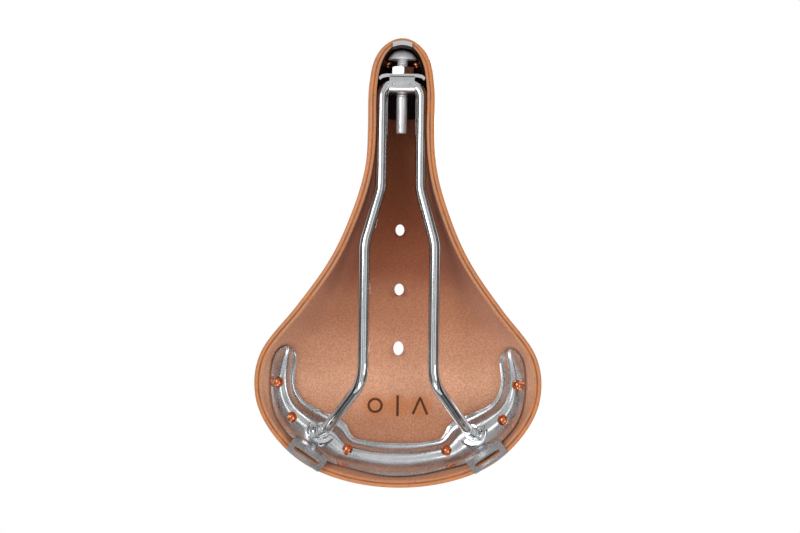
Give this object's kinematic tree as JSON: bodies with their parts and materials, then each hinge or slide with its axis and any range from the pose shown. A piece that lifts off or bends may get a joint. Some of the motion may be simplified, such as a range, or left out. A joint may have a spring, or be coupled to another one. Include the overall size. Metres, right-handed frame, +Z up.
{
  "type": "bicycle saddle",
  "caption": "Tensioned leather bicycle saddle on a bent steel rail, with a riveted cantle plate and a nose tension bolt.",
  "frame": {"origin": "midway between the two straight clamp runs of the seat rail, level with the rail's centre line", "axes": "+X forward to the nose, +Y to the rider's left, +Z up"},
  "size_m": [0.2754, 0.1756, 0.0666],
  "materials": {
    "leather": "vegetable-tanned leather, honey outside, open flesh side below",
    "plate_chrome": "polished plated steel",
    "rail_chrome": "polished plated steel rod",
    "zinc": "bright plated steel",
    "dark_steel": "dark coated steel",
    "copper": "hammered copper"
  },
  "bodies": {
    "frame": {"leather_seat": "leather", "cantle_plate": "plate_chrome", "bag_loop_left": "plate_chrome", "bag_loop_right": "plate_chrome", "seat_rail": "rail_chrome", "rail_collar_left": "rail_chrome", "rail_collar_right": "rail_chrome", "shackle": "zinc", "rear_rivet_1": "copper", "rear_rivet_2": "copper", "rear_rivet_3": "copper", "rear_rivet_4": "copper", "rear_rivet_5": "copper", "rear_rivet_6": "copper"},
    "nose": {"nose_piece": "dark_steel", "nose_trim": "zinc", "tension_bolt": "zinc", "nose_rivet_1": "copper", "nose_rivet_2": "copper", "nose_rivet_3": "copper", "nose_rivet_4": "copper", "nose_rivet_5": "copper"},
    "nut": {"tension_nut": "zinc"}
  },
  "joints": [
    {"name": "nut_turn", "type": "hinge", "parent": "frame", "child": "nut", "pos_m": [0.147, 0, 0.028], "axis": [1, 0, 0], "range_deg": [-1445, 365]},
    {"name": "nose_slide", "type": "slide", "parent": "frame", "child": "nose", "axis": [1, 0, 0], "range_m": [-0.00125, 0.005], "deforming": ["leather_seat"]}
  ],
  "couplings": [
    {"joint": "nut_turn", "follows": "nose_slide", "rad_per_m": -5026.5}
  ]
}
